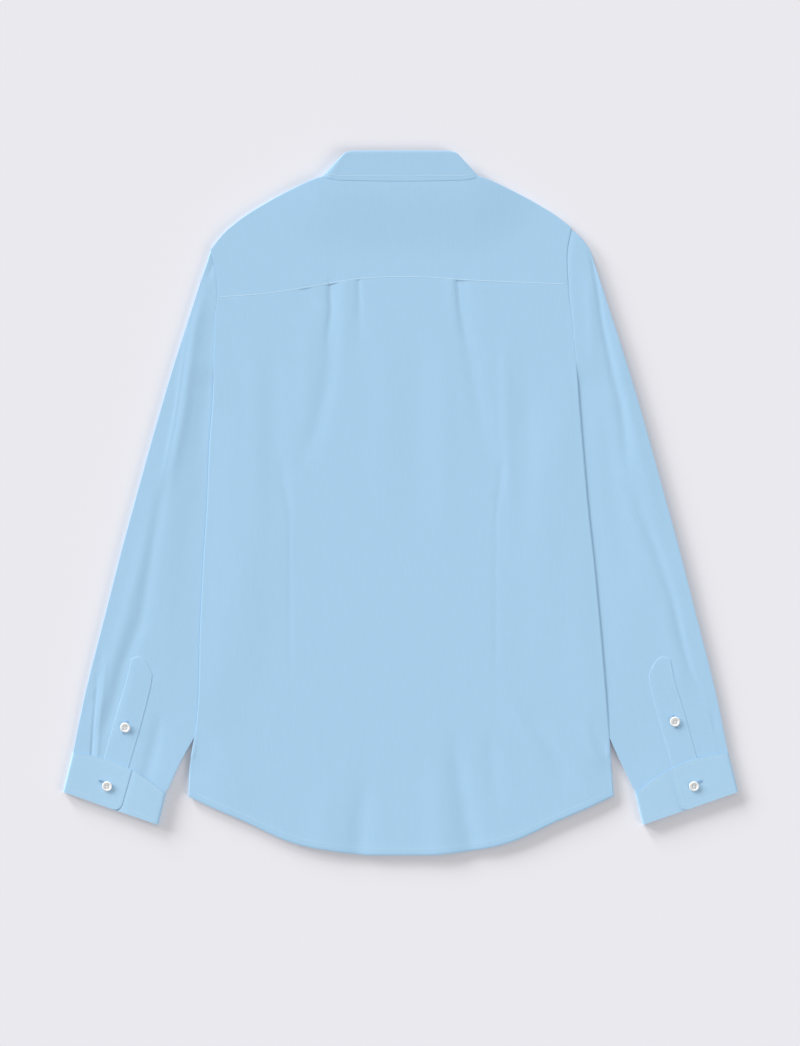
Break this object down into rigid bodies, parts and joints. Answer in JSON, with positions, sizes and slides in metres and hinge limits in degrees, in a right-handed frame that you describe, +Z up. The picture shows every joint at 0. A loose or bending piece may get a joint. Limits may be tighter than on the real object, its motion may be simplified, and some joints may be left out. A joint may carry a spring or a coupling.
{
  "type": "long sleeve dress shirt",
  "caption": "Long sleeve dress shirt laid flat on its front, sleeves beside the body, with a turned down collar, back yoke, pleats, buttoned gauntlets and square cuffs.",
  "frame": {"origin": "on the surface that the shirt lies on, under the middle of its outline", "axes": "+Y from the hem to the collar, +Z up from the surface to the back of the shirt, +X to the wearer's right"},
  "size_m": [0.7076, 0.7383, 0.01],
  "materials": {
    "shirt_cloth": "matte",
    "stiffened_cloth": "matte",
    "button": "satin"
  },
  "bodies": {
    "root": {"back": "shirt_cloth", "yoke": "shirt_cloth", "front_left": "shirt_cloth", "front_right": "shirt_cloth", "collar_stand": "stiffened_cloth", "collar_fall": "stiffened_cloth", "sleeve_left": "shirt_cloth", "sleeve_right": "shirt_cloth", "gauntlet_left": "shirt_cloth", "gauntlet_right": "shirt_cloth", "cuff_left": "stiffened_cloth", "cuff_right": "stiffened_cloth", "cuff_button_left": "button", "gauntlet_button_left": "button", "cuff_button_right": "button", "gauntlet_button_right": "button", "collar_button": "button", "front_button_1": "button", "front_button_2": "button", "front_button_3": "button", "front_button_4": "button", "front_button_5": "button", "front_button_6": "button"}
  },
  "joints": []
}
